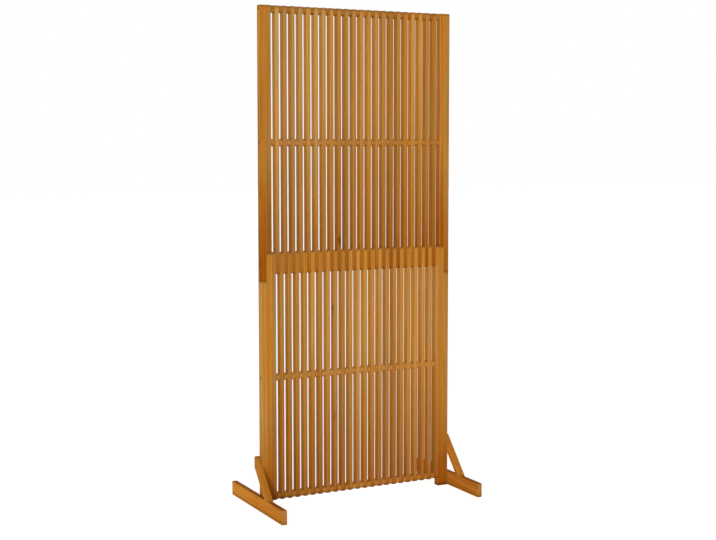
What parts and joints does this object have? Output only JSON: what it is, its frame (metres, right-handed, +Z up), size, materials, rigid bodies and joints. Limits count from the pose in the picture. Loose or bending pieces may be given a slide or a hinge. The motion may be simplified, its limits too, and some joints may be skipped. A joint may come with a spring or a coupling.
{
  "type": "slatted privacy screen",
  "caption": "Free-standing upright wooden privacy screen: two stacked panels of narrow vertical slats that mesh like combs at mid height, on braced feet.",
  "frame": {"origin": "on the ground, midway between the two feet and midway along their length", "axes": "+Z up; +X along the screen's width, to the right when it is seen from its front; +Y from its front, where the braces are, to its back"},
  "size_m": [0.815, 0.46, 1.8],
  "materials": {
    "post_wood": "satin, oiled, with open straight grain",
    "leg_wood": "satin, oiled, with open straight grain",
    "slat_wood_light": "satin, oiled, with open straight grain",
    "slat_wood_mid": "satin, oiled, with open straight grain",
    "slat_wood_dark": "satin, oiled, with open straight grain",
    "spacer_wood": "satin, oiled, with open straight grain",
    "foot_wood": "satin, oiled, with open straight grain",
    "hardware_steel": "dull zinc-plated steel"
  },
  "bodies": {
    "root": {"upper_post_left": "post_wood", "upper_post_right": "post_wood", "leg_left": "leg_wood", "leg_right": "leg_wood", "upper_slat_01": "slat_wood_mid", "upper_slat_02": "slat_wood_dark", "upper_slat_03": "slat_wood_dark", "upper_slat_04": "slat_wood_mid", "upper_slat_05": "slat_wood_light", "upper_slat_06": "slat_wood_light", "upper_slat_07": "slat_wood_mid", "upper_slat_08": "slat_wood_mid", "upper_slat_09": "slat_wood_dark", "upper_slat_10": "slat_wood_dark", "upper_slat_11": "slat_wood_mid", "upper_slat_12": "slat_wood_light", "upper_slat_13": "slat_wood_light", "upper_slat_14": "slat_wood_mid", "upper_slat_15": "slat_wood_mid", "upper_slat_16": "slat_wood_dark", "upper_slat_17": "slat_wood_dark", "upper_slat_18": "slat_wood_mid", "upper_slat_19": "slat_wood_light", "upper_slat_20": "slat_wood_light", "upper_slat_21": "slat_wood_mid", "upper_slat_22": "slat_wood_mid", "lower_slat_01": "slat_wood_mid", "lower_slat_02": "slat_wood_dark", "lower_slat_03": "slat_wood_dark", "lower_slat_04": "slat_wood_mid", "lower_slat_05": "slat_wood_light", "lower_slat_06": "slat_wood_light", "lower_slat_07": "slat_wood_mid", "lower_slat_08": "slat_wood_mid", "lower_slat_09": "slat_wood_dark", "lower_slat_10": "slat_wood_dark", "lower_slat_11": "slat_wood_mid", "lower_slat_12": "slat_wood_light", "lower_slat_13": "slat_wood_light", "lower_slat_14": "slat_wood_mid", "lower_slat_15": "slat_wood_mid", "lower_slat_16": "slat_wood_dark", "lower_slat_17": "slat_wood_dark", "lower_slat_18": "slat_wood_mid", "lower_slat_19": "slat_wood_light", "lower_slat_20": "slat_wood_light", "lower_slat_21": "slat_wood_mid", "lower_slat_22": "slat_wood_mid", "lower_slat_23": "slat_wood_dark", "top_spacers": "spacer_wood", "upper_middle_spacers": "spacer_wood", "lower_middle_spacers": "spacer_wood", "bottom_spacers": "spacer_wood", "foot_left": "foot_wood", "foot_right": "foot_wood", "brace_left": "foot_wood", "brace_right": "foot_wood", "tie_rods": "hardware_steel", "sleeve_nuts": "hardware_steel", "foot_screws": "hardware_steel"}
  },
  "joints": []
}
